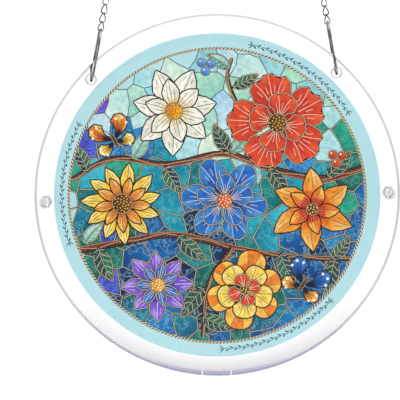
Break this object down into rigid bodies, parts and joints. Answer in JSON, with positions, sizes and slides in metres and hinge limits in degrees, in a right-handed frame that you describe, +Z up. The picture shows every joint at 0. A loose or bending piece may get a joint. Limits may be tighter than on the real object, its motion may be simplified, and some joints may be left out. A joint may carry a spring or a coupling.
{
  "type": "acrylic suncatcher",
  "caption": "Round hanging window ornament: a printed stained-glass style picture held between two clear discs, on wire rings and a curb chain that meets in one hanging ring.",
  "frame": {"origin": "where a hook bears on the inside of the hanging ring, straight above the middle of the discs", "axes": "+Z up, +Y from the front of the discs to their back, +X to the right as seen from the front"},
  "size_m": [0.2, 0.014, 0.5201],
  "materials": {
    "clear_acrylic": "clear, polished",
    "printed_film": "printed stained-glass style picture with a pale aqua border, satin",
    "clear_plastic": "clear moulded plastic, slightly cloudy",
    "steel_wire": "polished, lightly darkened in the bends"
  },
  "bodies": {
    "root": {"front_disc": "clear_acrylic", "back_disc": "clear_acrylic", "printed_insert": "printed_film", "screw_left": "clear_plastic", "screw_right": "clear_plastic", "nut_left": "clear_plastic", "nut_right": "clear_plastic", "ring_left": "steel_wire", "ring_right": "steel_wire", "chain_left": "steel_wire", "chain_right": "steel_wire", "hanging_ring": "steel_wire"}
  },
  "joints": []
}
